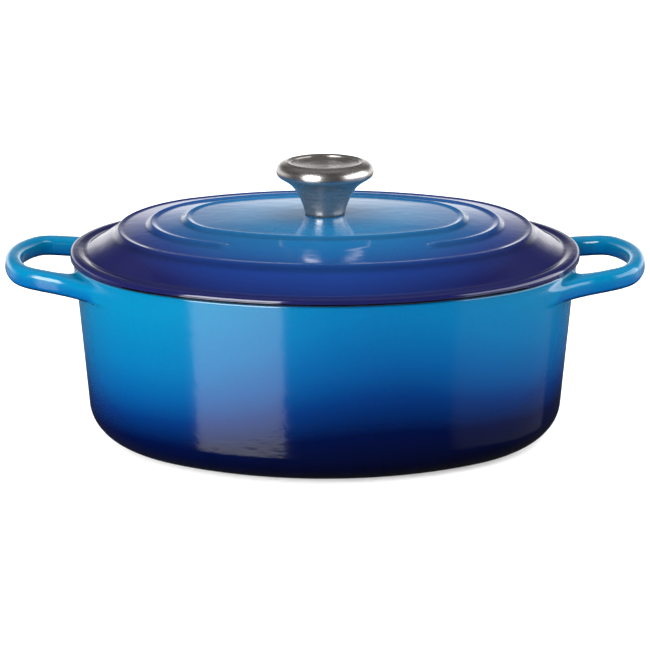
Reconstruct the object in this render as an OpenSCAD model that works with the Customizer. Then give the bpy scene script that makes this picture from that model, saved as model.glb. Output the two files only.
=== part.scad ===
// Oval cast iron dutch oven with a flat-seated, ringed lid and a steel knob.
// Millimetres, +Z up, +X along the oval, base ring standing on Z = 0.
//
// Pot and lid share one four-arc oval, the pot's rim: two end arcs and two long side
// arcs that meet tangentially. Growing or shrinking it by an offset keeps the four
// centres, so each casting is one profile, drawn as (offset from the rim's outline,
// height), swept along the four arcs.

/* [Pot] */
// Length of the pot over its rim
pot_len = 294.6; // [260:1:340]
// Radius of the oval's end arcs at the rim
end_r = 101.3; // [101:0.5:110]
// Half the angle that each end arc spans
end_turn = 60.75; // [55:0.25:66]
// Height of the rim above the base
rim_z = 106; // [80:1:150]
// Lean of the wall, narrowing towards the base, in degrees
draft = 3.6; // [1:0.1:6]
// Outer radius between wall and base
base_r = 18; // [8:1:24]
// Inner radius between wall and floor
floor_r = 20; // [8:1:24]
// Thickness of the wall at the rim
wall = 4; // [3.5:0.1:5]
// Thickness of the floor
floor_t = 4.6; // [4:0.1:6]
// Width of the raised ring that the pot stands on
foot_w = 9; // [5:1:16]
// Depth of the shallow recess inside that ring
foot_recess = 0.8; // [0.3:0.1:1.5]

/* [Handles] */
// Reach of each loop, from the middle of the pot
handle_reach = 188.6; // [170:0.5:210]
// Width of the handle bar, seen from above
bar_w = 10.6; // [8:0.1:13]
// Height of the handle bar
bar_h = 11.8; // [9:0.1:14]
// Rounding of the bar's edges
bar_round = 4.2; // [2:0.1:5]
// Radius of the loop's end, on the centreline
loop_end_r = 70; // [60:1:80]
// Half the angle that the loop's end spans
loop_end_turn = 26; // [22:1:28]
// Radius of the loop's corners, on the centreline
loop_corner_r = 16; // [12:1:20]
// Radius of the gently bowed bars, on the centreline
bar_bow_r = 200; // [150:10:300]
// Angle by which each bar closes in where it meets the corner
bar_close = 17; // [12:1:20]
// Angle that each bar bows through between corner and wall
bar_turn = 11; // [9:1:14]
// Angle by which the loop rises away from the pot
handle_tilt = 7.2; // [0:0.1:10]
// Height of the bar's centre where it leaves the wall
root_z = 97.6; // [80:0.5:100]

/* [Lid] */
// Overhang of the lid beyond the pot's rim, all round
overhang = 2.2; // [1:0.1:3]
// Height of the lid's lower edge above its seat
lid_edge_lift = 1; // [0.4:0.1:2]
// Rounding of the bead around the lid's edge
bead_r = 3.4; // [2:0.1:4]
// Height of the bead above the seat
bead_h = 6.2; // [5:0.1:8]
// Height of the plateau above the seat
plateau_h = 23.3; // [18:0.1:28]
// Thickness of the lid
lid_t = 3.8; // [3.5:0.1:4.5]
// Rounding of the three raised rings
ring_r = 2.6; // [1.5:0.1:3]
// Depth that the locating lip reaches below the seat
lip_depth = 3.2; // [2:0.1:5]
// Gap between the locating lip and the pot's wall
lip_gap = 1.6; // [0.8:0.1:2.5]
// Radius of the pad under the knob
pad_r = 13.6; // [12:0.1:18]
// Height of that pad
pad_h = 0.7; // [0.4:0.1:2]

/* [Knob] */
// Radius of the knob at its widest
knob_r = 28.5; // [24:0.1:32]
// Radius of the neck at its foot
neck_r = 11.9; // [10:0.1:13]
// Height of the knob above its seat washer
knob_h = 30.5; // [28:0.1:36]
// Rounding of the head's rim
head_round = 6; // [4:0.1:6.5]
// Radius of the dished cap
cap_r = 19.6; // [16:0.1:20]
// Thickness of the dished cap
cap_t = 1.2; // [0.8:0.1:2]
// Depth of the dish in the cap
cap_dish = 1; // [0.5:0.1:1.5]
// Radius of the threaded insert in the neck
insert_r = 6.4; // [5:0.1:7]
// Length of that insert
insert_len = 14; // [8:0.5:15]

/* [Screw] */
// Radius of the knob screw's shank
screw_r = 3; // [2.5:0.1:3.5]
// Radius of the screw's head
screw_head_r = 6; // [5:0.1:7]
// Height of the screw's head
screw_head_h = 3.4; // [2.5:0.1:4]
// Outer radius of the plain washer
washer_r = 9; // [7:0.1:10]
// Thickness of the plain washer
washer_t = 1.2; // [0.8:0.1:1.6]
// Outer radius of the split lock washer
lock_r = 5.4; // [4.8:0.1:6]
// Thickness of the split lock washer
lock_t = 1.4; // [1:0.1:1.6]
// Thickness of the seat washer under the knob
seat_t = 0.6; // [0.4:0.1:1]

/* [Hidden] */
$fn = 144;
slack = 0.05;           // running clearance of shafts, bores and the cap

// the oval's four centres: ends at (+-centre_x, 0), sides at (0, +-centre_y)
pot_a = pot_len / 2;
centre_x = pot_a - end_r;
centre_y = centre_x * tan(end_turn);
side_r = end_r + centre_x / cos(end_turn);
pot_b = side_r - centre_y;

// from this offset inwards every profile is flat, so it reaches past the oval's middle
flat_in = -97;
middle = -300;

// lid heights, from the seat upwards
seat_z = rim_z;
bead_z = seat_z + bead_h;
plateau_z = seat_z + plateau_h;
pad_z = plateau_z + pad_h;
under_z = plateau_z - lid_t;
lip_out = -wall - lip_gap;          // offset of the lip's outer face
lip_w = 2.8;

// knob heights
knob_z = pad_z + seat_t;
crest_z = knob_z + knob_h;
head_z = crest_z - head_round;      // level of the widest point
neck_top = knob_z + 16.6;           // crease between neck and head
crease_r = 21.4;

// screw heights, downwards from the lid's underside
lock_z = under_z - washer_t;
head_top_z = lock_z - lock_t;
insert_top = knob_z + insert_len;

// ---------- four-arc oval ----------

// translate() in steps that stay exact where only six digits of each are kept
module shift(v) {
    whole = [for (k = v) floor(k)];
    fine = [for (k = v - whole) floor(k * 100000) / 100000];
    translate(whole) translate(fine) translate(v - whole - fine) children();
}

// sweeps a profile drawn as (offset from the rim's outline, height) along the oval
module oval_sweep() {
    for (turn = [0, 180]) rotate(turn) {
        shift([centre_x, 0, 0]) rotate_extrude(angle = 2 * end_turn, start = -end_turn)
            intersection() {
                shift([end_r, 0]) children();
                translate([0, -50]) square([400, 400]);
            }
        intersection() {
            shift([0, -centre_y, 0]) rotate_extrude(angle = 180 - 2 * end_turn, start = end_turn)
                intersection() {
                    shift([side_r, 0]) children();
                    translate([centre_y - 10, -50]) square([400, 400]);
                }
            translate([-400, 0, -100]) cube([800, 400, 500]);
        }
    }
}

// ---------- pot ----------

// profile inside a leaning wall that passes (top, rim_z), with a rounded corner above level z0
module leaning_profile(top, z0, corner_r, over = 0) {
    corner = top - (rim_z - z0 - corner_r) * tan(draft) - corner_r / cos(draft);
    foot = [corner, z0];
    tangent = [corner + corner_r * cos(draft), z0 + corner_r * (1 - sin(draft))];
    edge = [top + over * tan(draft), rim_z + over];
    polygon([[middle - over, z0], foot, tangent, edge, [middle - over, edge.y]]);
    translate([corner, z0 + corner_r]) circle(corner_r);
}

module pot_wall_profile() {
    rim_round = 1.4;
    foot_in = -rim_z * tan(draft) - base_r - foot_w + 2;
    difference() {
        leaning_profile(0, 0, base_r);
        leaning_profile(-wall, floor_t, floor_r, over = 2);
        // recess inside the foot ring
        translate([middle - 1, -1]) square([foot_in - middle + 1, 1 + foot_recess]);
        // rounded outer and inner edges of the rim
        for (s = [0, 1]) translate([-s * wall, rim_z]) mirror([s, 0]) difference() {
            translate([-rim_round, -rim_round]) square(2 * rim_round);
            translate([-rim_round, -rim_round]) circle(rim_round);
        }
    }
}

module bar_section() {
    for (x = [-1, 1], y = [-1, 1])
        translate([x * (bar_w / 2 - bar_round), y * (bar_h / 2 - bar_round)]) circle(bar_round);
    square([bar_w, bar_h - 2 * bar_round], center = true);
    square([bar_w - 2 * bar_round, bar_h], center = true);
}

// an arc of the handle bar about a centre in plan
module bar_arc(centre, radius, from, turn) {
    shift([centre.x, centre.y, 0]) rotate_extrude(angle = turn, start = from)
        translate([radius, 0]) bar_section();
}

// loop in its own level plane, bars running out along +X
module handle_loop() {
    end_c = [handle_reach - bar_w / 2 - loop_end_r, 0];
    bar_from = 90 - bar_close;
    corner_c = end_c + (loop_end_r - loop_corner_r) * [cos(loop_end_turn), sin(loop_end_turn)];
    bar_c = corner_c - (bar_bow_r - loop_corner_r) * [cos(bar_from), sin(bar_from)];
    bar_arc(end_c, loop_end_r, -loop_end_turn, 2 * loop_end_turn);
    bar_arc(corner_c, loop_corner_r, loop_end_turn, bar_from - loop_end_turn);
    bar_arc(bar_c, bar_bow_r, bar_from, bar_turn);
    bar_arc([corner_c.x, -corner_c.y], loop_corner_r, -bar_from, bar_from - loop_end_turn);
    bar_arc([bar_c.x, -bar_c.y], bar_bow_r, -bar_from - bar_turn, bar_turn);
}

// tapered root that spreads the bar along the wall
module root_flare(p0, p1, r0, r1) {
    d = p1 - p0;
    translate(p0) rotate([0, acos(d.z / norm(d)), atan2(d.y, d.x)])
        cylinder(h = norm(d), r1 = r0, r2 = r1);
}

module handle() {
    root_y = 45.4;
    fade_r = 2.4;
    hinge_in = 6;       // the loop tilts about a line this far inside the rim
    translate([pot_a - hinge_in, 0, root_z]) rotate([0, -handle_tilt, 0])
        translate([hinge_in - pot_a, 0, 0]) handle_loop();
    for (s = [-1, 1]) {
        start = [pot_a + 2, s * (root_y - 1), root_z + 0.6];
        root_flare(start, [pot_a - 26, s * (root_y + 20), root_z - 1], bar_w / 2, fade_r);
        root_flare(start, [pot_a - 8, s * (root_y - 16), root_z - 1], bar_w / 2, fade_r);
    }
}

module pot() {
    color("#1673c4") {
        oval_sweep() pot_wall_profile();
        for (turn = [0, 180]) rotate(turn) difference() {
            handle();
            oval_sweep() translate([middle, rim_z - 40]) square([-middle - 3, 60]);
        }
    }
}

// ---------- lid ----------

// ridges of the three rings: [offset from the lid's outline, height above the seat]
rings = [[-25.2, 17.6], [-45.8, 20.9], [-65.4, 23.3]];

// drawn from the lid's own outline, which is the rim's grown by the overhang
module lid_profile() {
    edge_z = bead_z - bead_r;
    lip = lip_out - overhang;
    polygon([
        [middle, under_z], [middle, plateau_z], [flat_in, plateau_z],
        [-71.5, seat_z + 22.7], [-68.4, seat_z + 22.6], [-62.4, seat_z + 21.3],
        [-49, seat_z + 20.1], [-42.8, seat_z + 18.5], [-28.4, seat_z + 17.1],
        [-22.2, seat_z + 14.7], [-18, seat_z + 10.6], [-14, seat_z + 6.8],
        [-11.2, seat_z + 5.2], [-8.4, bead_z - 0.5],
        [-bead_r - 1.6, bead_z], [-bead_r, bead_z], [-bead_r, edge_z],
        [0, edge_z], [0, seat_z + lid_edge_lift], [-2.6, seat_z + lid_edge_lift],
        [-3.4, seat_z], [lip, seat_z], [lip - 0.5, seat_z - lip_depth],
        [lip - lip_w, seat_z - lip_depth], [lip - lip_w - 0.8, seat_z + 1.4],
        [-16, seat_z + 2.8], [-26, seat_z + 14 - lid_t], [-31, seat_z + 15.8 - lid_t],
        [-50, seat_z + 19.1 - lid_t], [-71, seat_z + 21.4 - lid_t], [flat_in, under_z]
    ]);
    intersection() {
        translate([-bead_r, edge_z]) circle(bead_r);
        translate([-bead_r, edge_z]) square(bead_r);
    }
    for (ring = rings) translate([ring.x, seat_z + ring.y - ring_r]) circle(ring_r);
}

module lid() {
    lug_w = 8;
    lug_t = 3;
    lug_reach = 0.9;    // how far a lug stands out of the lip
    lug_in = lip_out + lug_reach - lug_t / 2;
    color("#23235e") difference() {
        union() {
            oval_sweep() translate([overhang, 0]) lid_profile();
            translate([0, 0, plateau_z - 1]) cylinder(h = pad_h + 1, r = pad_r);
            // small lugs that keep the lip centred in the pot
            for (s = [-1, 1]) {
                translate([s * (pot_a + lug_in), 0, seat_z - lip_depth / 2])
                    cube([lug_t, lug_w, lip_depth], center = true);
                translate([0, s * (pot_b + lug_in), seat_z - lip_depth / 2])
                    cube([lug_w, lug_t, lip_depth], center = true);
            }
        }
        translate([0, 0, under_z - 1]) cylinder(h = lid_t + pad_h + 2, r = screw_r + 0.4);
    }
}

// ---------- knob and its fixing ----------

// centre of the circle through three points
function circle_centre(p, q, r) =
    let (m = (p + q) / 2, n = (q + r) / 2, u = q - p, v = r - q,
         d = u.x * v.y - u.y * v.x,
         s = ((m * u) * v.y - (n * v) * u.y) / d,
         t = ((n * v) * u.x - (m * u) * v.x) / d)
    [s, t];

// point where a line from p touches the circle (c, r), on the circle's lower right
function touch(p, c, r) =
    let (d = c - p, len = norm(d), turn = atan2(d.y, d.x) - asin(r / len))
    p + sqrt(len * len - r * r) * [cos(turn), sin(turn)];

module knob_body() {
    foot = [neck_r, knob_z];
    crease = [crease_r, neck_top];
    flare = circle_centre(foot, [neck_r + 2.1, knob_z + 7.3], crease);
    rim = [knob_r - head_round, head_z];
    ledge_z = crest_z - 1 - cap_t;
    color("silver") rotate_extrude() difference() {
        union() {
            difference() {
                translate([0, knob_z]) square([crease_r, neck_top - knob_z]);
                translate(flare) circle(norm(flare - foot));
            }
            polygon([[0, neck_top], crease, touch(crease, rim, head_round), rim,
                     [rim.x, crest_z], [0, crest_z]]);
            translate(rim) circle(head_round);
        }
        translate([-40, 0]) square([40, 400]);
        // bore for the insert
        translate([-1, knob_z - 1]) square([1 + insert_r + slack, neck_top - knob_z + 1 - 1.8]);
        translate([-1, knob_z - 1]) square([1 + screw_r + 0.6, neck_top - knob_z + 2]);
        // hollow of the head
        polygon([[-1, neck_top - 0.4], [18, neck_top + 0.4], [rim.x + 1.4, head_z - 3.4],
                 [rim.x + 3.8, head_z], [cap_r - 1.6, ledge_z], [-1, ledge_z]]);
        // seat of the cap and the sloping edge above it
        translate([-1, ledge_z - 1]) square([1 + cap_r - 1.6, 4]);
        translate([-1, ledge_z]) square([1 + cap_r + slack, 4]);
        polygon([[0, crest_z - 0.9], [cap_r + slack, crest_z - 0.9],
                 [knob_r - head_round, crest_z + 0.05], [0, crest_z + 0.05]]);
    }
}

module knob_cap() {
    z0 = crest_z - 1 - cap_t;
    land = 2.4;
    color("silver") rotate_extrude() polygon([
        [0, z0 - cap_dish], [cap_r - 7, z0 - cap_dish + 0.2], [cap_r - 1.8, z0],
        [cap_r, z0], [cap_r, z0 + cap_t], [cap_r - land, z0 + cap_t - 0.2],
        [cap_r - 8, z0 + cap_t - cap_dish + 0.1], [0, z0 + cap_t - cap_dish]
    ]);
}

module ring(r_out, r_in, z0, z1) {
    translate([0, 0, z0]) difference() {
        cylinder(h = z1 - z0, r = r_out);
        translate([0, 0, -1]) cylinder(h = z1 - z0 + 2, r = r_in);
    }
}

module knob_insert() {
    color("goldenrod") ring(insert_r, screw_r + slack, knob_z, insert_top);
}

module knob_seat() {
    color("dimgray") ring(neck_r - 0.3, screw_r + 0.4, pad_z, knob_z);
}

module screw_washer() {
    color("silver") ring(washer_r, screw_r + 0.2, lock_z, under_z);
}

module lock_washer() {
    gap = 0.8;
    color("gray") difference() {
        ring(lock_r, screw_r + 0.1, head_top_z, lock_z);
        translate([0, -gap / 2, head_top_z - 1]) cube([lock_r + 1, gap, lock_t + 2]);
    }
}

module knob_screw() {
    slot_w = 1.5;
    slot_d = 1.6;
    head_bottom = head_top_z - screw_head_h;
    color("silver") difference() {
        union() {
            translate([0, 0, head_bottom]) cylinder(h = screw_head_h, r = screw_head_r);
            translate([0, 0, head_top_z - 1])
                cylinder(h = insert_top - head_top_z - 1, r = screw_r);
        }
        translate([-screw_head_r - 1, -slot_w / 2, head_bottom - 1])
            cube([2 * screw_head_r + 2, slot_w, 1 + slot_d]);
    }
}

pot();
lid();
knob_body();
knob_cap();
knob_insert();
knob_seat();
screw_washer();
lock_washer();
knob_screw();
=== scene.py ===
import math

import bpy
import numpy as np
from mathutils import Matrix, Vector


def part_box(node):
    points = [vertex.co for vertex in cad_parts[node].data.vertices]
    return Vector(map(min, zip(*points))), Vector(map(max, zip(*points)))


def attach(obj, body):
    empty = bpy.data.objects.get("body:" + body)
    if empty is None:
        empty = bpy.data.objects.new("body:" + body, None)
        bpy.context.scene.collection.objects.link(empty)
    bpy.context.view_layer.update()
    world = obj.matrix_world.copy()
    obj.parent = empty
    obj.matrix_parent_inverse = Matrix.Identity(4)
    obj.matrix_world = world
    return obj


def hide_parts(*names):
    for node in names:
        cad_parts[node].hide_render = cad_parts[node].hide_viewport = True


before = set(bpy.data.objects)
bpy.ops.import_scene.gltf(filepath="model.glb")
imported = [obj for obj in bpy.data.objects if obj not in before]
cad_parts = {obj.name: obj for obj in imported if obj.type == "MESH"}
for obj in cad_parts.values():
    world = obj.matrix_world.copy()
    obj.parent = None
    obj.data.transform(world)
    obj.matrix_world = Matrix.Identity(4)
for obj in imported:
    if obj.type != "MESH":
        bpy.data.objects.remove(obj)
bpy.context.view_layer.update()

# Oval enamelled dutch oven. Shapes are worked out in millimetres in the CAD frame and
# stored in metres. The pot, the lid and the knob are finely meshed versions of the CAD
# solids; the screw, washers, insert and knob seat stay as CAD nodes.

MM = 0.001


# ---------- sizes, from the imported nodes' boxes ----------

def box_mm(node):
    lo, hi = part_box(node)
    return [c / MM for c in lo], [c / MM for c in hi]


pot_hi = box_mm("pot")[1]
lid_lo, lid_hi = box_mm("lid")
body_lo, body_hi = box_mm("knob_body")
cap_top = box_mm("knob_cap")[1][2]
K = (lid_hi[0] - lid_lo[0]) / 299.0     # 1 unless the part is packed at another scale

WALL = 4.0 * K                  # wall thickness at the rim
FLOOR_T = 4.6 * K
BASE_R = 18.0 * K               # outer corner between wall and base
FLOOR_R = 20.0 * K              # inner corner between wall and floor
FOOT_RECESS = 0.8 * K
LIP_DEPTH = 3.2 * K             # locating lip below the seat
SEAT = lid_lo[2] + LIP_DEPTH    # height of the pot's rim, where the lid sits
DRAFT = math.radians(3.6)
OVERHANG = lid_hi[1] - pot_hi[1]
RIM_A = lid_hi[0] - OVERHANG    # half the rim's length
END_TURN = math.radians(60.75)
END_R = 101.3 * K
CENTRE_X = RIM_A - END_R
CENTRE_Y = CENTRE_X * math.tan(END_TURN)
SIDE_R = END_R + CENTRE_X / math.cos(END_TURN)
POT_H = 106.0                   # height of the pot when K is 1
LID_HALF_W = 115.5              # half the lid's width when K is 1


# ---------- four-arc oval ----------

def arc_of(phi):
    """Centre and radius of the rim's arc whose outward normal points along phi."""
    turn = (phi + math.pi / 2) % math.pi - math.pi / 2
    end = np.abs(turn) <= END_TURN
    cx = np.where(end, np.sign(np.cos(phi)) * CENTRE_X, 0.0)
    cy = np.where(end, 0.0, -np.sign(np.sin(phi)) * CENTRE_Y)
    return cx, cy, np.where(end, END_R, SIDE_R)


def on_oval(phi, grow):
    """Point of the rim's outline, grown by an offset, where the normal points along phi."""
    cx, cy, radius = arc_of(phi)
    return cx + (radius + grow) * np.cos(phi), cy + (radius + grow) * np.sin(phi)


def outline_offset(x, y):
    """Distance of a point outside the rim's outline, negative inside it."""
    ax, ay = np.abs(x), np.abs(y)
    end = (ax - CENTRE_X) * math.sin(END_TURN) >= ay * math.cos(END_TURN)
    return np.where(end, np.hypot(ax - CENTRE_X, ay) - END_R,
                    np.hypot(ax, ay + CENTRE_Y) - SIDE_R)


def oval_angles(fine_turn, fine, coarse, side):
    """Normal angles all round, finely spaced near the two tips where the handles are."""
    def span(a, b, step_mm, radius):
        n = max(2, round(math.radians(b - a) * radius / step_mm))
        return np.linspace(a, b, n, endpoint=False)
    turn = math.degrees(END_TURN)
    half = [span(-turn, -fine_turn, coarse, END_R), span(-fine_turn, fine_turn, fine, END_R),
            span(fine_turn, turn, coarse, END_R), span(turn, 180 - turn, side, SIDE_R)]
    half = np.concatenate(half)
    return np.radians(np.concatenate([half, half + 180]))


# ---------- mesh helpers ----------

def make_piece(name, verts_mm, faces, normals=None, attributes=None):
    mesh = bpy.data.meshes.new(name)
    mesh.from_pydata((np.asarray(verts_mm) * MM).tolist(), [], faces)
    mesh.validate()
    mesh.shade_smooth()
    for key, values in (attributes or {}).items():
        mesh.attributes.new(key, "FLOAT", "POINT").data.foreach_set(
            "value", np.asarray(values, dtype=np.float32))
    if normals is not None:
        mesh.normals_split_custom_set_from_vertices(np.asarray(normals).tolist())
    obj = bpy.data.objects.new(name, mesh)
    bpy.context.scene.collection.objects.link(obj)
    return obj


def unit(v):
    return v / np.maximum(np.linalg.norm(v, axis=-1, keepdims=True), 1e-12)


def fillet(points, step=12.0):
    """Polyline with each corner (a, b, radius) rounded; returns points and tangents."""
    pts = np.array([p[:2] for p in points], dtype=float)
    out, tan = [pts[0]], [unit(pts[1] - pts[0])]
    for i in range(1, len(pts) - 1):
        t0, t1 = unit(pts[i] - pts[i - 1]), unit(pts[i + 1] - pts[i])
        cross = t0[0] * t1[1] - t0[1] * t1[0]
        turn = math.atan2(cross, float(t0 @ t1))
        r = points[i][2]
        reach = r * abs(math.tan(turn / 2))
        n = max(2, math.ceil(abs(math.degrees(turn)) / step))
        side = math.copysign(1, turn)
        centre = pts[i] - t0 * reach + side * r * np.array([-t0[1], t0[0]])
        for k in range(n + 1):
            a = turn * k / n
            rot = np.array([[math.cos(a), -math.sin(a)], [math.sin(a), math.cos(a)]])
            t = rot @ t0
            out.append(centre - side * r * np.array([-t[1], t[0]]))
            tan.append(t)
    out.append(pts[-1])
    tan.append(unit(pts[-1] - pts[-2]))
    return np.array(out), np.array(tan)


def refine(pts, tan, longest):
    """Adds points on the straight runs of a filleted polyline."""
    out_p, out_t = [pts[0]], [tan[0]]
    for p, q, t in zip(pts[:-1], pts[1:], tan[1:]):
        n = max(1, math.ceil(np.linalg.norm(q - p) / longest))
        for k in range(1, n + 1):
            out_p.append(p + (q - p) * k / n)
            out_t.append(t if k == n else unit(q - p))
    return np.array(out_p), np.array(out_t)


def revolve(name, profile, tangents, segments=256):
    """Revolves a closed (radius, height) loop about Z; points on the axis are shared."""
    n = len(profile)
    a = np.linspace(0, 2 * math.pi, segments, endpoint=False)
    ring = np.stack([np.cos(a), np.sin(a)], axis=-1)
    verts, normals, index = [], [], np.zeros((n, segments), dtype=int)
    for j, ((r, z), (tr, tz)) in enumerate(zip(profile, tangents)):
        if r < 1e-6:
            index[j, :] = len(verts)
            verts.append((0, 0, z))
            normals.append((0, 0, 1 if tr < 0 else -1))
            continue
        index[j] = len(verts) + np.arange(segments)
        verts.extend(np.column_stack([ring * r, np.full(segments, z)]).tolist())
        normals.extend(np.column_stack([ring * tz, np.full(segments, -tr)]).tolist())
    faces = []
    for j in range(n):
        j2 = (j + 1) % n
        if profile[j][0] < 1e-6 and profile[j2][0] < 1e-6:
            continue
        for k in range(segments):
            k2 = (k + 1) % segments
            quad = [index[j, k], index[j, k2], index[j2, k2], index[j2, k]]
            faces.append([int(v) for i, v in enumerate(quad) if v != quad[i - 1]])
    return make_piece(name, verts, faces, unit(np.array(normals)))


# ---------- pot ----------

HANDLE_TILT = math.radians(7.2)
HINGE_X = RIM_A - 6.0 * K       # the loop tilts about this line
ROOT_Z = SEAT - 8.4 * K         # height of the bar's centre at the wall
BAR_HALF_W = 5.6 * K            # half the bar's width at the root
BAR_HALF_W_END = 4.75 * K       # and at the loop's end
BAR_HALF_H = 5.9 * K
BAR_ROUND = 4.0 * K
ROOT_FLARE = 21.0 * K           # how far the bar spreads along the wall


def plan_loop():
    """Plan arcs of the loop's centreline: centre, radius, and the angles it runs between."""
    reach = pot_hi[0] - 5.0 * K
    end_c, end_r, end_turn = (reach - 70 * K, 0.0), 70.0 * K, 26.0
    corner_r, bar_from, bar_r = 16.0 * K, 73.0, 200.0 * K
    a = math.radians(end_turn)
    corner_c = (end_c[0] + (end_r - corner_r) * math.cos(a), (end_r - corner_r) * math.sin(a))
    b = math.radians(bar_from)
    bar_c = (corner_c[0] - (bar_r - corner_r) * math.cos(b),
             corner_c[1] - (bar_r - corner_r) * math.sin(b))
    return [(end_c, end_r, -end_turn, end_turn), (corner_c, corner_r, end_turn, bar_from),
            (bar_c, bar_r, bar_from, 85.0)]


LOOP_ARCS = plan_loop()


def round_max(a, b, r):
    """Intersection of two solids with a rounded edge of radius r."""
    return np.minimum(np.maximum(a, b), -r) + np.hypot(np.maximum(a + r, 0), np.maximum(b + r, 0))


def smooth_min(a, b, k):
    """Union of two solids with a fillet of about k."""
    h = np.maximum(k - np.abs(a - b), 0) / k
    return np.minimum(a, b) - h * h * k / 4


def smoothstep(x, a, b):
    t = np.clip((x - a) / (b - a), 0, 1)
    return t * t * (3 - 2 * t)


def leaning(offset, z, top, z0, corner_r):
    """Solid inside the leaning wall through (top, SEAT), above z0, with a rounded corner."""
    side = (offset - top - (z - SEAT) * math.tan(DRAFT)) * math.cos(DRAFT)
    return round_max(side, z0 - z, corner_r)


def along_handle(x, z):
    """Reach and height in the tilted plane of the loops, from the bar's centre."""
    c, s = math.cos(HANDLE_TILT), math.sin(HANDLE_TILT)
    return HINGE_X + (x - HINGE_X) * c + (z - ROOT_Z) * s, -(x - HINGE_X) * s + (z - ROOT_Z) * c


def loop_handle(x, y, z, offset):
    """The handle at +X; y is taken as positive, offset is the distance beyond the outline."""
    lx, lz = along_handle(x, z)
    plan = np.full(x.shape, 1e9)
    for centre, radius, a0, a1 in LOOP_ARCS:
        dx, dy = lx - centre[0], y - centre[1]
        turn = np.radians(np.clip(np.degrees(np.arctan2(dy, dx)), a0, a1))
        gap = np.hypot(dx - radius * np.cos(turn), dy - radius * np.sin(turn))
        plan = np.minimum(plan, gap)
    half_w = BAR_HALF_W + (BAR_HALF_W_END - BAR_HALF_W) * smoothstep(lx, 160 * K, 180 * K)
    wall = offset + (SEAT - z) * math.tan(DRAFT) + 0.8 * K
    a = smooth_min(plan - half_w, wall, ROOT_FLARE) + BAR_ROUND
    b = np.abs(lz) - BAR_HALF_H + BAR_ROUND
    return np.minimum(np.maximum(a, b), 0) + np.hypot(np.maximum(a, 0), np.maximum(b, 0)) - BAR_ROUND


def cavity(x, y, z, offset=None):
    """Distance outside the pot's hollow, about zero all over its inside."""
    offset = outline_offset(x, y) if offset is None else offset
    return leaning(offset, z, -WALL, FLOOR_T, FLOOR_R)


def pot_field(x, y, z):
    """Distance-like field of the whole pot casting, negative inside."""
    rim_round = 1.4 * K
    offset = outline_offset(x, y)
    shell = leaning(offset, z, 0.0, 0.0, BASE_R)
    near = offset > -14 * K
    hx, hy, hz = np.abs(x[near]), np.abs(y[near]), z[near]
    blend = (1.2 + 2.6 * smoothstep(hz, ROOT_Z - 5 * K, ROOT_Z + 4 * K)) * K
    shell[near] = smooth_min(shell[near], loop_handle(hx, hy, hz, offset[near]), blend)
    top = z - SEAT - 0.6 * np.maximum(offset - 6 * K, 0)
    shell = round_max(shell, top, rim_round)
    shell = round_max(shell, -cavity(x, y, z, offset), rim_round)
    foot_in = -SEAT * math.tan(DRAFT) - BASE_R - 7 * K
    recess = np.maximum(z - FOOT_RECESS, offset - foot_in)
    return round_max(shell, -recess, 0.5 * K)


def steps(*runs):
    """Levels through (start, end, step) runs, ends shared."""
    out = [runs[0][0]]
    for a, b, step in runs:
        n = max(1, round(abs(b - a) / step))
        out.extend(np.linspace(a, b, n + 1)[1:].tolist())
    return np.array(out)


def pot_grid():
    """Points of a grid bent round the oval: [angle, offset level, height level, xyz]."""
    phi = oval_angles(44, 1.15 * K, 1.9 * K, 2.3 * K)
    deep = 90 * K
    offsets = steps((43, 0.6, 1.2), (0.6, -0.6, 1.2), (-0.6, -3.4, 0.95), (-3.4, -4.6, 1.2),
                    (-4.6, -6.4, 1.8), (-6.4, -34, 1.5), (-34, -90, 5.6)) * K
    shrink = [0.8, 0.6, 0.4, 0.2, 0.05]
    heights = steps((-0.4, 0.4, 0.8), (0.4, 1.2, 0.8), (1.2, 4.0, 0.95), (4.0, 5.2, 1.2),
                    (5.2, 26, 1.5), (26, 79, 3.1), (79, 104, 1.1), (104, 105.6, 0.8),
                    (105.6, 106.4, 0.8), (106.4, 110.8, 1.1)) * K
    heights = heights + (SEAT - POT_H * K) * smoothstep(heights, 30 * K, 75 * K)
    grow = offsets[None, :, None] + (heights[None, None, :] - SEAT) * math.tan(DRAFT)
    grow = np.maximum(grow, -deep - 4 * K)
    x, y = on_oval(phi[:, None, None], grow)
    inner = np.stack([x[:, -1:], y[:, -1:]], axis=-1)
    x = np.concatenate([x] + [inner[..., 0] * f for f in shrink], axis=1)
    y = np.concatenate([y] + [inner[..., 1] * f for f in shrink], axis=1)
    z = np.broadcast_to(heights[None, None, :], x.shape)
    return np.stack([x, y, z], axis=-1)


def within(cell, nb, nc):
    """Which cells lie inside the grid along its two open axes."""
    return (cell[:, 1] >= 0) & (cell[:, 1] < nb - 1) & (cell[:, 2] >= 0) & (cell[:, 2] < nc - 1)


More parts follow.
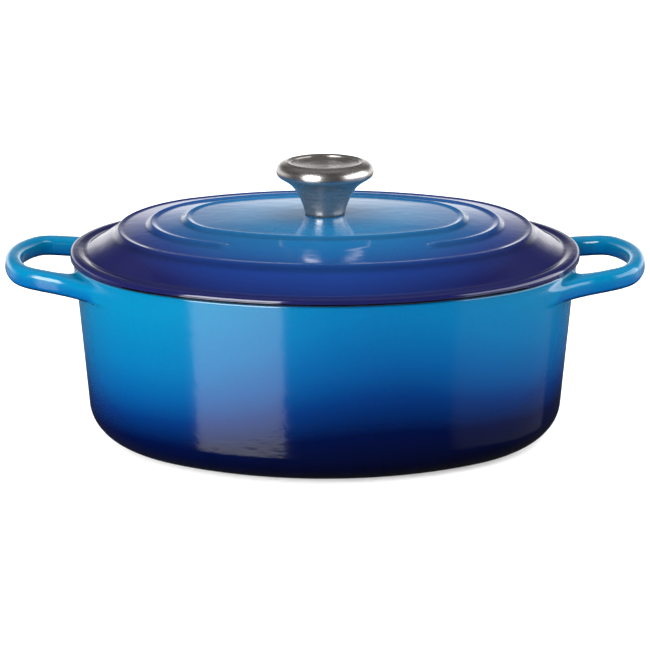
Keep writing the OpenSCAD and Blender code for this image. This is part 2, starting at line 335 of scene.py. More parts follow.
def surface_net(points, field):
    """Quads through the field's zero level; the first axis of the grid is closed."""
    na, nb, nc = field.shape
    inside = field < 0
    total = np.zeros((na, nb - 1, nc - 1, 3))
    count = np.zeros((na, nb - 1, nc - 1))
    crossings = []
    for axis in range(3):
        nxt = [slice(None)] * 3
        cur = [slice(None)] * 3
        if axis == 0:
            f1, p1, in1 = np.roll(field, -1, 0), np.roll(points, -1, 0), np.roll(inside, -1, 0)
            f0, p0, in0 = field, points, inside
        else:
            nxt[axis], cur[axis] = slice(1, None), slice(None, -1)
            f1, p1, in1 = field[tuple(nxt)], points[tuple(nxt)], inside[tuple(nxt)]
            f0, p0, in0 = field[tuple(cur)], points[tuple(cur)], inside[tuple(cur)]
        cut = np.argwhere(in0 != in1)
        ix = tuple(cut.T)
        t = (f0[ix] / (f0[ix] - f1[ix]))[:, None]
        where = p0[ix] * (1 - t) + p1[ix] * t
        crossings.append((axis, cut, in0[ix]))
        others = [k for k in range(3) if k != axis]
        for s0 in (0, -1):
            for s1 in (0, -1):
                cell = cut.copy()
                cell[:, others[0]] += s0
                cell[:, others[1]] += s1
                cell[:, 0] %= na
                ok = within(cell, nb, nc)
                c = tuple(cell[ok].T)
                np.add.at(total, c, where[ok])
                np.add.at(count, c, 1)
    used = np.argwhere(count > 0)
    index = np.full(count.shape, -1)
    index[tuple(used.T)] = np.arange(len(used))
    verts = total[tuple(used.T)] / count[tuple(used.T)][:, None]
    quads = []
    for axis, cut, solid in crossings:
        o0, o1 = [k for k in range(3) if k != axis]
        corner = []
        for s0, s1 in ((0, 0), (-1, 0), (-1, -1), (0, -1)):
            cell = cut.copy()
            cell[:, o0] += s0
            cell[:, o1] += s1
            cell[:, 0] %= na
            ok = within(cell, nb, nc)
            cell[~ok] = 0
            corner.append(np.where(ok, index[tuple(cell.T)], -1))
        quad = np.stack(corner, axis=1)
        flip = ~solid if axis != 1 else solid
        quad = np.where(flip[:, None], quad[:, ::-1], quad)
        quads.append(quad[(quad >= 0).all(axis=1)])
    return verts, np.concatenate(quads), index


def slope(field, p, h=0.02):
    """Gradient of a field by central differences over h."""
    grad = np.zeros_like(p)
    for k in range(3):
        q, r = p.copy(), p.copy()
        q[:, k] += h
        r[:, k] -= h
        grad[:, k] = (field(*q.T) - field(*r.T)) / (2 * h)
    return grad


def build_pot():
    points = pot_grid()
    flat = points.reshape(-1, 3)
    values = pot_field(*flat.T).reshape(points.shape[:3])
    verts, quads, index = surface_net(points, values)
    for _ in range(4):
        g = slope(pot_field, verts)
        step = pot_field(*verts.T)[:, None] * g / np.maximum((g * g).sum(1, keepdims=True), 0.2)
        verts = verts - np.clip(step, -0.8 * K, 0.8 * K)
    # caps in the middle of the floor and of the base, which the grid leaves open
    faces = quads.tolist()
    ring = index[:, -1, :]
    for level in range(ring.shape[1]):
        loop = ring[:, level]
        if (loop >= 0).all():
            centre = len(verts)
            verts = np.vstack([verts, [0, 0, verts[loop[0], 2]]])
            up = verts[loop[0], 2] > FLOOR_T / 2
            for a, b in zip(loop, np.roll(loop, -1)):
                faces.append([int(a), int(b), centre] if up else [int(b), int(a), centre])
    normals = unit(slope(pot_field, verts))
    depth = cavity(*verts.T)
    beyond = outline_offset(verts[:, 0], verts[:, 1])
    rim = smoothstep(verts[:, 2], SEAT - 0.5 * K, SEAT - 0.1 * K)
    rim *= 1 - smoothstep(beyond, 0.6 * K, 2 * K)
    # painted shade: the colour is darker on the lower half of the handles, and darkest underneath, where
    # shade falls
    _, handle_painted_shade = along_handle(np.abs(verts[:, 0]), verts[:, 2])
    clear = beyond + (SEAT - verts[:, 2]) * math.tan(DRAFT)
    handle_painted_shade = np.clip(0.5 - handle_painted_shade / (2 * BAR_HALF_H), 0, 1)
    handle_painted_shade *= smoothstep(clear, 0.2 * K, 4.0 * K) * smoothstep(verts[:, 2], SEAT - 22 * K, SEAT - 18 * K)
    return make_piece("pot_casting", verts, faces, normals,
                      {"cavity_distance": depth * MM, "rim": rim, "handle_painted_shade": handle_painted_shade})


# ---------- lid ----------

# The lid's upper profile: (inset from its outline, height above the seat, corner radius)
BEAD = [(0, 1.2, 0), (0, 5.0, 2.5), (4.6, 5.1, 2.2), (7.0, 4.5, 0)]
SLOPE = [(9.0, 3.9, 3), (17.0, 10.4, 5), (22.2, 14.7, 1.6), (25.2, 17.7, 1.3), (28.4, 17.1, 2)]
RING_2 = [(42.8, 18.5, 1.6), (45.8, 21.1, 1.3), (49, 20.1, 2)]
NO_RING_2 = [(40, 18.6, 20), (50, 20.0, 20)]
RING_3 = [(62.4, 21.3, 1.6), (65.4, 23.5, 1.3), (68.4, 22.6, 2), (72, 22.7, 0)]
GROOVES = [22.2, 42.8, 62.4]            # insets of the creases outside the three raised rings
UNDERSIDE = [(72, 17.6, 0), (50, 15.3, 8), (31, 12, 5), (26, 10.2, 5), (16, 2.8, 4), (11.4, 1.4, 0.9),
             (10.6, -3.2, 0.7), (8.3, -3.2, 0.7), (7.8, 0, 0.3), (3.4, 0, 0.3), (2.8, 0.45, 0.3),
             (0, 0.45, 0.7), (0, 1.2, 0)]
# the rings lie further in at the two ends of the oval than at its sides: (inset, shift)
RING_SHIFT = [(9, 0), (22, 3.5), (45, 1.5), (65, 3)]
# the edge bead is taller at the ends and flatter at the sides: (inset, lift)
BEAD_LIFT = [(8.5, 1.0), (15, 0)]
RING_2_GAP = (-57.0 * K, 60.0 * K)      # ring 2 is left out in front between these
PLATEAU_INSET = 72.0                    # inside this the oval turns into the knob's circle
PLATEAU_H = 23.85 * K                   # height at the knob
PLATEAU_EDGE_H = 22.7 * K
KNOB_CIRCLE_R = 11.6 * K
KNOB_CIRCLE_INSET = 35.0 * K            # the inset attribute grows by this up to that circle
CREASE_SHADE_OFFSET = 0.8                       # the painted shade in each crease is centred this much inside it
CREASE_SHADE_WIDTH = 1.9
HOLE_R = 3.4                            # hole for the knob's screw
UNDER_CIRCLE_R = 16.0                   # under the lid the oval turns into this circle
UNDER_MIDDLE_H = 19.5                   # height of the underside there
LIP_OUT = 0.9 * K                       # how far the lugs stand out of the lip
LUG_FULL = 3.4 * K                      # half a lug's width, and where it has faded out
LUG_END = 4.4 * K


def height_at(points, inset):
    pts, _ = fillet(points, 4)
    return np.interp(inset, pts[:, 0], pts[:, 1])


def build_lid():
    """The lid as one closed grid: its profile swept round the oval, inwards, through and back out."""
    phi = oval_angles(44, 2.0 * K, 2.0 * K, 2.2 * K)
    ring_line = BEAD[-1:] + SLOPE + RING_2 + RING_3
    top, _ = refine(*fillet(BEAD[:-1] + ring_line, 9), 1.6)
    under, _ = refine(*fillet(UNDERSIDE, 14), 2.6)
    plain = height_at(BEAD[-1:] + SLOPE + NO_RING_2 + RING_3, top[:, 0])
    plain = np.where(top[:, 0] > 30, plain, top[:, 1])

    # stations: inset, height, share of the circle, circle radius
    middle = PLATEAU_INSET * K
    rows = [(s * K, h * K, 0.0, KNOB_CIRCLE_R) for s, h in top]
    for t in np.linspace(0, 1, 15)[1:]:
        height = PLATEAU_H - (PLATEAU_H - PLATEAU_EDGE_H) * (1 - t) ** 1.4
        rows.append((middle, height, t, KNOB_CIRCLE_R))
    n_top = len(rows)
    pad = [(11.6, 23.85, 0), (11.4, 23.85, 0.1), (11.25, 24.0, 0.1), (3.9, 24.0, 0),
           (HOLE_R, 23.6, 0.2), (HOLE_R, 19.6, 0.2), (3.6, UNDER_MIDDLE_H, 0),
           (UNDER_CIRCLE_R, UNDER_MIDDLE_H, 0)]
    pad_p, _ = refine(*fillet(pad, 20), 2.0)
    for r, h in pad_p[1:]:
        rows.append((middle, h * K, 1.0, r * K))
    for t in np.linspace(1, 0, 13)[1:-1]:
        rows.append((middle, (UNDER_MIDDLE_H - 1.8 * (1 - t) ** 1.3) * K, t, UNDER_CIRCLE_R * K))
    n_under = len(rows)
    rows.extend((s * K, h * K, 0.0, KNOB_CIRCLE_R) for s, h in under[:-1])
    rows = np.array(rows)

    inset = np.broadcast_to(rows[None, :, 0], (len(phi), len(rows)))
    shift = np.interp(rows[:, 0] / K, *zip(*RING_SHIFT)) * K
    shift[n_under:] = 0
    inset = inset + shift[None, :] * np.cos(2 * phi)[:, None]
    x, y = on_oval(phi[:, None], OVERHANG - 0.1 * K - inset)
    cx, cy = np.cos(phi)[:, None] * rows[None, :, 3], np.sin(phi)[:, None] * rows[None, :, 3]
    w = rows[None, :, 2]
    x, y = x * (1 - w) + cx * w, y * (1 - w) + cy * w
    z = np.broadcast_to(rows[None, :, 1], x.shape).copy()
    lift = np.interp(rows[:, 0] / K, *zip(*BEAD_LIFT)) * np.clip(rows[:, 1] / (5 * K), 0, 1) * K
    lift[n_top:] = 0
    z += lift[None, :] * np.cos(2 * phi)[:, None]

    # ring 2 fades out in front, and four small lugs stand out of the lip
    a, b = RING_2_GAP
    gap = smoothstep(x, a - 3 * K, a + 7 * K) * (1 - smoothstep(x, b - 7 * K, b + 3 * K)) * (y < 0)
    m = len(top)
    # painted shade: darkening along the creases outside the three raised rings
    crease_painted_shade = np.zeros_like(z)
    for at in GROOVES:
        near = np.exp(-((rows[:m, 0] / K - at - CREASE_SHADE_OFFSET) / CREASE_SHADE_WIDTH) ** 2)[None, :]
        crease_painted_shade[:, :m] += near * (1 - gap[:, :m]) if at == GROOVES[1] else near
    z[:, :m] += (plain - top[:, 1])[None, :] * K * gap[:, :m]
    lip = np.zeros(len(rows))
    face = (rows[:, 1] < -0.4 * K) & (rows[:, 0] < 9 * K)
    lip[face] = LIP_OUT
    lug = np.maximum(1 - smoothstep(np.abs(x), LUG_FULL, LUG_END),
                     1 - smoothstep(np.abs(y), LUG_FULL, LUG_END))
    x += np.cos(phi)[:, None] * lip[None, :] * lug
    y += np.sin(phi)[:, None] * lip[None, :] * lug

    pos = np.stack([x, y, z + SEAT], axis=-1)
    normals = grid_normals(pos)
    n, m = pos.shape[:2]
    i = np.arange(n * m).reshape(n, m)
    i1, j1 = np.roll(i, -1, 0), np.roll(i, -1, 1)
    quads = np.stack([i, i1, np.roll(i1, -1, 1), j1], axis=-1).reshape(-1, 4)
    inset = np.broadcast_to((rows[:, 0] + rows[:, 2] * KNOB_CIRCLE_INSET)[None, :], (n, m))
    under_side = np.zeros(m)
    under_side[n_top + len(pad_p) // 2:] = 1
    attributes = {"inset": inset.ravel() * MM, "crease_painted_shade": crease_painted_shade.ravel(),
                  "underside": np.broadcast_to(under_side, (n, m)).ravel()}
    return make_piece("lid_casting", pos.reshape(-1, 3), quads.tolist(), normals.reshape(-1, 3),
                      attributes)


def grid_normals(pos):
    """Normals of a closed grid from central differences weighted for uneven spacing."""
    def tangent(axis):
        ahead, behind = np.roll(pos, -1, axis) - pos, pos - np.roll(pos, 1, axis)
        la = np.linalg.norm(ahead, axis=-1, keepdims=True) + 1e-9
        lb = np.linalg.norm(behind, axis=-1, keepdims=True) + 1e-9
        return unit(ahead / la * lb + behind / lb * la)
    return unit(np.cross(tangent(0), tangent(1)))


# ---------- knob ----------

def spline(points, per=6):
    """Catmull-Rom curve through (a, b) points, with tangents."""
    p = np.array(points, dtype=float)
    p = np.vstack([2 * p[0] - p[1], p, 2 * p[-1] - p[-2]])
    out, tan = [], []
    for i in range(1, len(p) - 2):
        p0, p1, p2, p3 = p[i - 1:i + 3]
        for k in range(per):
            t = k / per
            out.append(0.5 * (2 * p1 + (p2 - p0) * t + (2 * p0 - 5 * p1 + 4 * p2 - p3) * t ** 2
                              + (3 * p1 - p0 - 3 * p2 + p3) * t ** 3))
            tan.append(0.5 * ((p2 - p0) + 2 * (2 * p0 - 5 * p1 + 4 * p2 - p3) * t
                              + 3 * (3 * p1 - p0 - 3 * p2 + p3) * t ** 2))
    out.append(p[-2])
    tan.append(p[-2] - p[-3])
    return np.array(out), unit(np.array(tan))


# The knob's outline, a smooth curve from its foot to the land on top: (radius, height)
KNOB_OUTLINE = [(11.75, 0), (12.0, 0.6), (12.5, 3.0), (13.4, 5.6), (14.4, 8.1), (15.7, 10.7),
                (17.4, 13.6), (19.0, 15.7), (21.0, 17.6), (23.4, 19.3), (25.7, 20.7), (27.5, 22.0),
                (28.35, 23.6), (28.45, 25.2), (28.0, 26.9), (26.9, 28.5), (25.1, 29.6), (22.9, 30.2)]


def build_knob():
    """The knob's head and neck: the outline outside, and a hollow for the insert inside."""
    z0, top = body_lo[2], body_hi[2]
    curve, tan = spline([(r * K, z0 + h * K) for r, h in KNOB_OUTLINE])
    ledge = top - 2.2 * K
    rest = [(22.9 * K, z0 + 30.2 * K, 0), (22.1 * K, top, 0.45 * K),
            (20.0 * K, top - 0.45 * K, 0.25 * K), (19.66 * K, top - 0.7 * K, 0.15 * K),
            (19.66 * K, ledge, 0.1 * K), (18 * K, ledge, 0.1 * K), (18.2 * K, z0 + 20.5 * K, 2 * K),
            (16 * K, z0 + 17 * K, 2 * K), (3.6 * K, z0 + 16.2 * K, 0.1 * K),
            (3.6 * K, z0 + 14.8 * K, 0.1 * K), (6.45 * K, z0 + 14.8 * K, 0.1 * K),
            (6.45 * K, z0, 0.2 * K), (11.75 * K, z0, 0)]
    inner, inner_t = refine(*fillet(rest, 15), 2.5 * K)
    profile = np.vstack([curve[:-1], inner[:-1]])
    tangents = np.vstack([tan[:-1], inner_t[:-1]])
    return revolve("knob_shell", profile, tangents)


def build_cap():
    """The disc that closes the knob's top, dished towards its middle."""
    z0 = cap_top - 1.2 * K
    top = cap_top - 0.15 * K
    loop = [(0, z0 - 1.7 * K, 0), (12.4 * K, z0 - 1.5 * K, 3 * K), (17.8 * K, z0, 1 * K),
            (19.6 * K, z0, 0.2 * K), (19.6 * K, top, 0.3 * K), (18.9 * K, top - 0.1 * K, 0.5 * K),
            (13 * K, top - 1.15 * K, 10 * K), (5 * K, top - 1.7 * K, 10 * K), (0, top - 1.75 * K, 0)]
    profile, tangents = refine(*fillet(loop, 5), 1.0 * K)
    return revolve("knob_dish", profile, tangents)


# ---------- materials ----------

def srgb(r, g, b):
    """Linear colour from 0-255 sRGB values."""
    return tuple(c / 255 / 12.92 if c <= 10 else ((c / 255 + 0.055) / 1.055) ** 2.4
                 for c in (r, g, b)) + (1.0,)


RIM_BLACK = srgb(24, 22, 24)            # bare matt enamel where the pot and lid meet


def set_ramp(ramp, stops):
    """Puts (place, colour) stops on a colour ramp that starts with two."""
    elements = ramp.elements
    while len(elements) < len(stops):
        elements.new(0.5)
    for element, (at, _) in zip(elements, stops):
        element.position = at
    for element, (_, colour) in zip(elements, stops):
        element.color = colour


class Nodes:
    """Short-hand for building one material's node tree."""

    def __init__(self, name):
        self.material = bpy.data.materials.new(name)
        self.material.use_nodes = True
        self.tree = self.material.node_tree
        self.shader = self.tree.nodes["Principled BSDF"]

    def add(self, kind, inputs=None, **settings):
        node = self.tree.nodes.new(kind)
        for key, value in settings.items():
            setattr(node, key, value)
        for key, value in (inputs or {}).items():
            self.put(node.inputs[key], value)
        return node

    def put(self, socket, value):
        if isinstance(value, bpy.types.NodeSocket):
            self.tree.links.new(value, socket)
        else:
            socket.default_value = value

    def math(self, operation, a, b=0.0, c=0.0, clamp=False):
        node = self.add("ShaderNodeMath", {0: a, 1: b, 2: c}, operation=operation)
        node.use_clamp = clamp
        return node.outputs[0]

    def ramp(self, factor, stops):
        node = self.add("ShaderNodeValToRGB", {"Fac": factor})
        set_ramp(node.color_ramp, stops)
        return node.outputs["Color"]

    def mix(self, factor, a, b, blend="MIX"):
        node = self.add("ShaderNodeMix", data_type="RGBA", blend_type=blend)
        self.put(node.inputs["Factor"], factor)
        self.put(node.inputs["A"], a)
        self.put(node.inputs["B"], b)
        return node.outputs["Result"]

    def between(self, value, a, b):
        """Smooth 0 to 1 as value runs from a to b."""
        node = self.add("ShaderNodeMapRange", {"Value": value, "From Min": a, "From Max": b},
                        interpolation_type="SMOOTHSTEP")
        return node.outputs["Result"]

    def place(self):
        return self.add("ShaderNodeTexCoord").outputs["Object"]

    def noise(self, vector, scale, detail=2.0, rough=0.5):
        node = self.add("ShaderNodeTexNoise", {"Vector": vector, "Scale": scale, "Detail": detail,
                                               "Roughness": rough})
        return node.outputs["Fac"]

    def attribute(self, name):
        return self.add("ShaderNodeAttribute", attribute_name=name).outputs["Fac"]

    def bump(self, height, strength, distance, normal=None):
        inputs = {"Height": height, "Strength": strength, "Distance": distance}
        if normal is not None:
            inputs["Normal"] = normal
        return self.add("ShaderNodeBump", inputs).outputs["Normal"]

    def surface(self, **values):
        for key, value in values.items():
            self.put(self.shader.inputs[key.replace("_", " ")], value)
        return self.material


def enamel_skin(n, place):
    """Orange-peel ripple and fine pits of fired enamel over sand-cast iron."""
    flat = n.add("ShaderNodeVectorMath", {0: place, 1: (1, 1, 2.2)}, operation="MULTIPLY").outputs[0]
    ripple = n.noise(flat, 130, 2, 0.5)
    fine = n.noise(place, 620, 1, 0.5)
    first = n.bump(ripple, 0.4, 0.00017)
    return n.bump(fine, 0.14, 0.00004, first), ripple, fine


def cream_enamel(n, place):
    """Light inside enamel with a sparse darker grain."""
    grain = n.between(n.noise(place, 900, 2, 0.6), 0.62, 0.75)
    return n.mix(grain, srgb(224, 212, 188), srgb(206, 192, 165))


# Outside colour by height in mm, from the nearly black foot up to the azure rim
POT_COLOURS = [(0, srgb(3, 3, 12)), (20, srgb(0, 6, 40)), (35, srgb(0, 32, 80)),
               (50, srgb(0, 58, 105)), (70, srgb(0, 76, 118)), (106, srgb(0, 90, 125))]
# Painted shade in part: the ombre is the glaze's own, but its spread across x, darker round FADE_X and
# towards +x, copies how the light falls
FOOT_RISE = 3.0 * K                     # the foot colour reaches this much higher at x = 0
FOOT_TILT = 0.04                        # and this much more for each mm towards +x
FADE_ENDS = 0.9                         # heights are stretched by this at the two ends
FADE_MORE = 0.5                         # and by this much more near the middle,
FADE_X = 28.0 * K                       # in a bell round this x
FADE_WIDTH = 65.0 * K                   # with this width


def pot_material():
    n = Nodes("pot_enamel_ombre")
    place = n.place()
    xyz = n.add("ShaderNodeSeparateXYZ", {0: place})
    x, z = xyz.outputs["X"], xyz.outputs["Z"]
    normal, ripple, fine = enamel_skin(n, place)
    cloud = n.noise(place, 22, 3, 0.55)
    # painted shade in part: the shift and the bell make the ombre darker towards +x and round FADE_X
    shift = n.math("MULTIPLY_ADD", x, FOOT_TILT, FOOT_RISE * MM)
    bell = n.math("MULTIPLY_ADD", x, 1 / (FADE_WIDTH * MM), -FADE_X / FADE_WIDTH)
    bell = n.math("EXPONENT", n.math("MULTIPLY", n.math("MULTIPLY", bell, bell), -1.0))
    stretch = n.math("MULTIPLY_ADD", bell, FADE_MORE, FADE_ENDS)
    height = n.math("DIVIDE", n.math("SUBTRACT", z, shift), stretch)
    height = n.math("DIVIDE", height, POT_H * K * MM)
    height = n.math("ADD", height, n.math("MULTIPLY_ADD", cloud, 0.03, -0.015))
    outside = n.ramp(height, [(z_mm / POT_H, c) for z_mm, c in POT_COLOURS])
    speckle = n.math("MULTIPLY_ADD", fine, 0.16, 0.92)
    outside = n.mix(1.0, outside, speckle, "MULTIPLY")
    # painted shade on the handles: darker blue on their lower half, near black underneath
    handle_painted_shade = n.attribute("handle_painted_shade")
    outside = n.mix(n.math("MULTIPLY", n.between(handle_painted_shade, 0.2, 0.7), 0.5), outside, (0, 0.022, 0.15, 1))
    outside = n.mix(n.math("MULTIPLY", n.between(handle_painted_shade, 0.74, 0.90), 0.9), outside, (0, 0.003, 0.03, 1))
    inside = cream_enamel(n, place)
    depth = n.attribute("cavity_distance")
    is_out = n.between(depth, 0.0019, 0.0021)
    rim = n.attribute("rim")
    colour = n.mix(is_out, inside, outside)
    colour = n.mix(rim, colour, RIM_BLACK)
    rough = n.math("MULTIPLY_ADD", ripple, 0.08, 0.07)
    rough = n.math("MULTIPLY_ADD", rim, 0.4, rough)
    return n.surface(Base_Color=colour, Roughness=rough, IOR=1.5, Normal=normal)


# Outside colour from the far edge inwards in mm, from the navy edge to the azure middle
LID_EDGE = srgb(16, 18, 56)
LID_COLOURS = [(0, LID_EDGE), (16, srgb(16, 38, 90)), (32, srgb(16, 60, 105)),
               (73, srgb(15, 86, 126)), (115, srgb(12, 85, 130))]


def lid_material():
    n = Nodes("lid_enamel_ombre")
    place = n.place()
    z = n.add("ShaderNodeSeparateXYZ", {0: place}).outputs["Z"]
    normal, ripple, fine = enamel_skin(n, place)
    cloud = n.noise(place, 26, 3, 0.55)
    # the blue follows the distance from the middle more than it follows the rings
    x, y = (n.add("ShaderNodeSeparateXYZ", {0: place}).outputs[k] for k in "XY")
    far = n.math("MULTIPLY", x, 0.93)
    far = n.math("SQRT", n.math("ADD", n.math("MULTIPLY", far, far), n.math("MULTIPLY", y, y)))
    near = n.math("MULTIPLY_ADD", far, -1 / (LID_HALF_W * K * MM), 1.0)
    near = n.math("ADD", near, n.math("MULTIPLY_ADD", cloud, 0.04, -0.02))
    top = n.ramp(near, [(s / LID_HALF_W, c) for s, c in LID_COLOURS])
    edge_band = n.between(n.attribute("inset"), 6 * K * MM, 11 * K * MM)
    top = n.mix(edge_band, LID_EDGE, top)
    top = n.mix(1.0, top, n.math("MULTIPLY_ADD", fine, 0.14, 0.93), "MULTIPLY")
    # painted shade: the colour is darker in the grooves, where shade falls
    top = n.mix(1.0, top, n.math("MULTIPLY_ADD", n.attribute("crease_painted_shade"), -0.42, 1.0), "MULTIPLY")
    under = n.attribute("underside")
    rim = n.between(n.attribute("inset"), 12.5 * K * MM, 11.8 * K * MM)
    lower = n.mix(rim, cream_enamel(n, place), RIM_BLACK)
    is_under = n.between(under, 0.4, 0.6)
    edge = n.math("MULTIPLY", n.between(z, (SEAT + 0.8 * K) * MM, (SEAT + 0.55 * K) * MM), rim)
    colour = n.mix(is_under, top, lower)
    colour = n.mix(edge, colour, RIM_BLACK)
    rough = n.math("MULTIPLY_ADD", ripple, 0.06, 0.055)
    rough = n.math("MULTIPLY_ADD", edge, 0.4, rough)
    return n.surface(Base_Color=colour, Roughness=rough, IOR=1.5, Normal=normal)


def brushed_round(name, colour, dark, rough, scratch_scale=2600.0, streak=0.5, satin_below=-1.0):
    """Metal brushed in circles about the Z axis, a little less metallic below satin_below."""
    n = Nodes(name)
    brush_r = 0.0007                    # a small circle, so that the lines run round the axis
    xyz = n.add("ShaderNodeSeparateXYZ", {0: n.place()})
    x, y, z = (xyz.outputs[k] for k in "XYZ")
    radius = n.math("SQRT", n.math("ADD", n.math("MULTIPLY", x, x), n.math("MULTIPLY", y, y)))
    angle = n.math("ARCTAN2", y, x)
    cylinder = n.add("ShaderNodeCombineXYZ", {0: n.math("MULTIPLY", n.math("COSINE", angle), brush_r),
                                              1: n.math("MULTIPLY", n.math("SINE", angle), brush_r),
                                              2: n.math("ADD", radius, z)}).outputs[0]
    lines = n.noise(cylinder, scratch_scale, 3, 0.6)
    broad = n.noise(cylinder, scratch_scale / 6, 2, 0.5)
    tone = n.math("MULTIPLY_ADD", broad, 0.4, 0.3 - streak / 2)
    tone = n.math("MULTIPLY_ADD", lines, streak, tone, clamp=True)
    base = n.mix(tone, dark, colour)
    normal = n.bump(lines, 0.25, 0.00003)
    value = n.math("MULTIPLY_ADD", lines, 0.16, rough - 0.08)
    satin = n.between(z, satin_below + 0.002, satin_below - 0.001)
    metallic = n.math("MULTIPLY_ADD", satin, -0.04, 0.96)
    return n.surface(Base_Color=base, Metallic=metallic, Roughness=value, Anisotropic=0.5,
                     Anisotropic_Rotation=0.25, Normal=normal)


def rubber_material():
    n = Nodes("seat_rubber")
    place = n.place()
    grain = n.noise(place, 1500, 3, 0.6)
    base = n.mix(grain, srgb(22, 22, 24), srgb(38, 38, 41))
    return n.surface(Base_Color=base, Roughness=n.math("MULTIPLY_ADD", grain, 0.2, 0.6),
                     Normal=n.bump(grain, 0.4, 0.00005))


def dress_node(name, material):
    """Gives a carried-over CAD node its material."""
    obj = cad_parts[name]
    obj = bpy.data.objects[obj] if isinstance(obj, str) else obj
    for slot in obj.material_slots:
        slot.link = "OBJECT"
        slot.material = material


# ---------- camera, light and floor ----------

def aim(obj, target):
    obj.rotation_euler = (Vector(target) - obj.location).to_track_quat("-Z", "Y").to_euler()


def build_camera():
    scene = bpy.context.scene
    data = bpy.data.cameras.new("camera")
    camera = bpy.data.objects.new("camera", data)
    scene.collection.objects.link(camera)
    elevation, distance, target = math.radians(17), 1.0, Vector((0, 0, 0.060))
    camera.location = target + distance * Vector((0, -math.cos(elevation), math.sin(elevation)))
    aim(camera, target)
    data.sensor_width = 36
    data.lens = 92.5
    data.shift_y = 0.0035
    data.clip_end = 60
    scene.camera = camera


def panel(name, azimuth, distance, width, z0, z1, radiance, glossy=True, diffuse=True, colour=(1, 1, 1)):
    """Upright soft panel; azimuth in degrees from -Y, positive towards +X."""
    data = bpy.data.lights.new(name, "AREA")
    data.shape = "RECTANGLE"
    data.size, data.size_y = width, z1 - z0
    data.energy = radiance * math.pi * width * (z1 - z0)
    data.color = colour
    light = bpy.data.objects.new(name, data)
    bpy.context.scene.collection.objects.link(light)
    a = math.radians(azimuth)
    light.location = (distance * math.sin(a), -distance * math.cos(a), (z0 + z1) / 2)
    aim(light, (0, 0, (z0 + z1) / 2))
    light.visible_glossy = glossy
    light.visible_diffuse = diffuse
    light.visible_camera = False
    return light


def build_lights():
    """Two softboxes seen in the glaze, each with a dim part below the floor line, and soft fills."""
    panel("soft_left", -31.5, 1.5, 0.90, 0.05, 1.35, 13.0)
    panel("soft_left_low", -31.5, 1.5, 0.90, -0.78, 0.05, 2.0, diffuse=False)
    panel("soft_right", 82, 1.4, 1.9, 0.05, 1.2, 4.0, diffuse=False)
    panel("soft_right_low", 82, 1.4, 1.9, -0.78, 0.05, 0.15, diffuse=False)
    over = panel("fill_top", 0, 0.0, 2.4, 0.4, 2.8, 3.0, glossy=False)
    over.rotation_euler = (0, 0, 0)
    panel("fill_right", 108, 1.5, 1.9, 0.0, 1.3, 8.0, glossy=False)
    panel("fill_left", -100, 1.6, 1.6, 0.0, 1.4, 3.0, glossy=False)
    panel("fill_front", 8, 1.8, 1.6, 0.2, 1.6, 0.8, glossy=False)


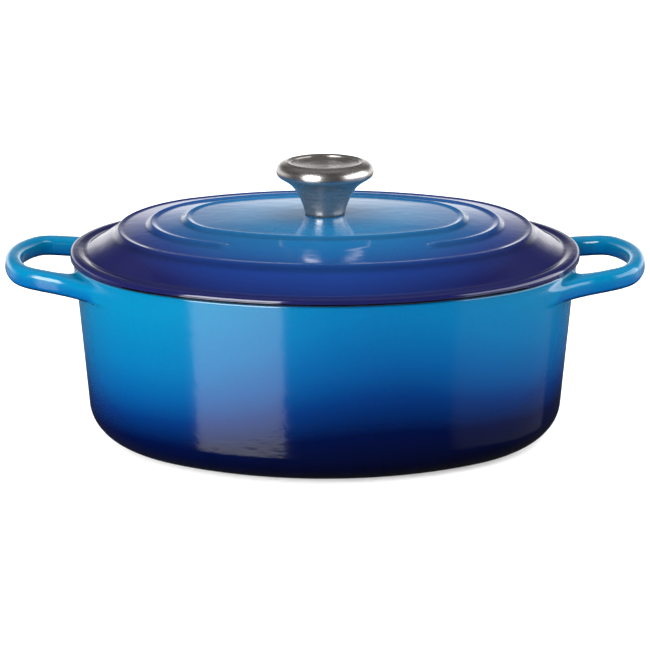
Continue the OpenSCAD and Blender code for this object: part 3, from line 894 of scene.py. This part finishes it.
def build_world():
    """White for the camera; in reflections a bright low backdrop behind the pot, darkest at about
    28 degrees up, and soft light overhead."""
    world = bpy.data.worlds.new("studio")
    bpy.context.scene.world = world
    world.use_nodes = True
    tree = world.node_tree
    tree.nodes.clear()
    new, link = tree.nodes.new, tree.links.new
    xyz = new("ShaderNodeSeparateXYZ")
    link(new("ShaderNodeTexCoord").outputs["Generated"], xyz.inputs[0])
    rise = new("ShaderNodeValToRGB")
    up = new("ShaderNodeMapRange")
    up.inputs["From Min"].default_value = -1.0
    link(xyz.outputs["Z"], up.inputs["Value"])
    link(up.outputs[0], rise.inputs["Fac"])
    # brightness by elevation in degrees
    sky = [(-60, 0.03), (-20, 0.03), (-12, 0.3), (-5, 1.5), (7, 1.5), (10, 0.95), (12.5, 0.68),
           (15, 0.43), (18, 0.16), (22, 0.09), (28, 0.06), (36, 0.10), (50, 0.22), (65, 0.28),
           (78, 0.4), (90, 0.6)]
    set_ramp(rise.color_ramp, [((math.sin(math.radians(degrees)) + 1) / 2, (v / 2, v / 2, v / 2, 1))
                               for degrees, v in sky])
    behind = new("ShaderNodeMapRange")
    behind.interpolation_type = "SMOOTHSTEP"
    behind.inputs["From Min"].default_value = -0.25
    behind.inputs["From Max"].default_value = 0.55
    behind.inputs["To Min"].default_value = 0.04
    link(xyz.outputs["Y"], behind.inputs["Value"])
    studio = new("ShaderNodeMath")
    studio.operation = "MULTIPLY"
    link(rise.outputs["Color"], studio.inputs[0])
    link(behind.outputs[0], studio.inputs[1])
    seen = new("ShaderNodeBackground")
    seen.inputs["Color"].default_value = (1, 1, 1, 1)
    lit = new("ShaderNodeBackground")
    lit.inputs["Strength"].default_value = 2.0
    link(studio.outputs[0], lit.inputs["Color"])
    mix, out = new("ShaderNodeMixShader"), new("ShaderNodeOutputWorld")
    link(new("ShaderNodeLightPath").outputs["Is Camera Ray"], mix.inputs[0])
    link(lit.outputs[0], mix.inputs[1])
    link(seen.outputs[0], mix.inputs[2])
    link(mix.outputs[0], out.inputs[0])


def build_floor():
    half = 9.0
    mesh = bpy.data.meshes.new("floor")
    mesh.from_pydata([(-half, -half, 0), (half, -half, 0), (half, half, 0), (-half, half, 0)], [],
                     [(0, 1, 2, 3)])
    floor = bpy.data.objects.new("floor", mesh)
    bpy.context.scene.collection.objects.link(floor)
    n = Nodes("floor_white")
    cloud = n.noise(n.place(), 3, 2)
    pale = n.mix(cloud, (0.86, 0.86, 0.87, 1), (0.88, 0.88, 0.88, 1))
    mesh.materials.append(n.surface(Base_Color=pale, Roughness=0.22, IOR=1.45,
                                    Emission_Color=(1, 1, 1, 1), Emission_Strength=0.35))
    floor.visible_glossy = False
    floor.visible_shadow = False


def build_object():
    """Builds the detailed pieces and gives the carried-over CAD nodes their materials."""
    pot = build_pot()
    pot.data.materials.append(pot_material())
    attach(pot, "pot")
    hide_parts("pot")
    lid = build_lid()
    lid.data.materials.append(lid_material())
    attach(lid, "lid")
    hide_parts("lid")
    steel = brushed_round("knob_brushed_steel", srgb(200, 195, 191), srgb(132, 128, 126), 0.28,
                          satin_below=body_lo[2] * MM + 0.0195 * K)
    for piece, node in ((build_knob(), "knob_body"), (build_cap(), "knob_cap")):
        piece.data.materials.append(steel)
        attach(piece, "lid")
        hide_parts(node)
    fixing = brushed_round("fixing_turned_steel", srgb(196, 196, 198), srgb(140, 140, 143), 0.3,
                           1800, 0.3)
    for node in ("knob_screw", "screw_washer", "lock_washer"):
        dress_node(node, fixing)
    brass = brushed_round("insert_turned_brass", srgb(214, 178, 104), srgb(160, 126, 66), 0.3, 1500, 0.3)
    dress_node("knob_insert", brass)
    dress_node("knob_seat", rubber_material())


build_camera()
build_world()
build_lights()
build_floor()
build_object()
bpy.context.scene.view_settings.view_transform = "Standard"
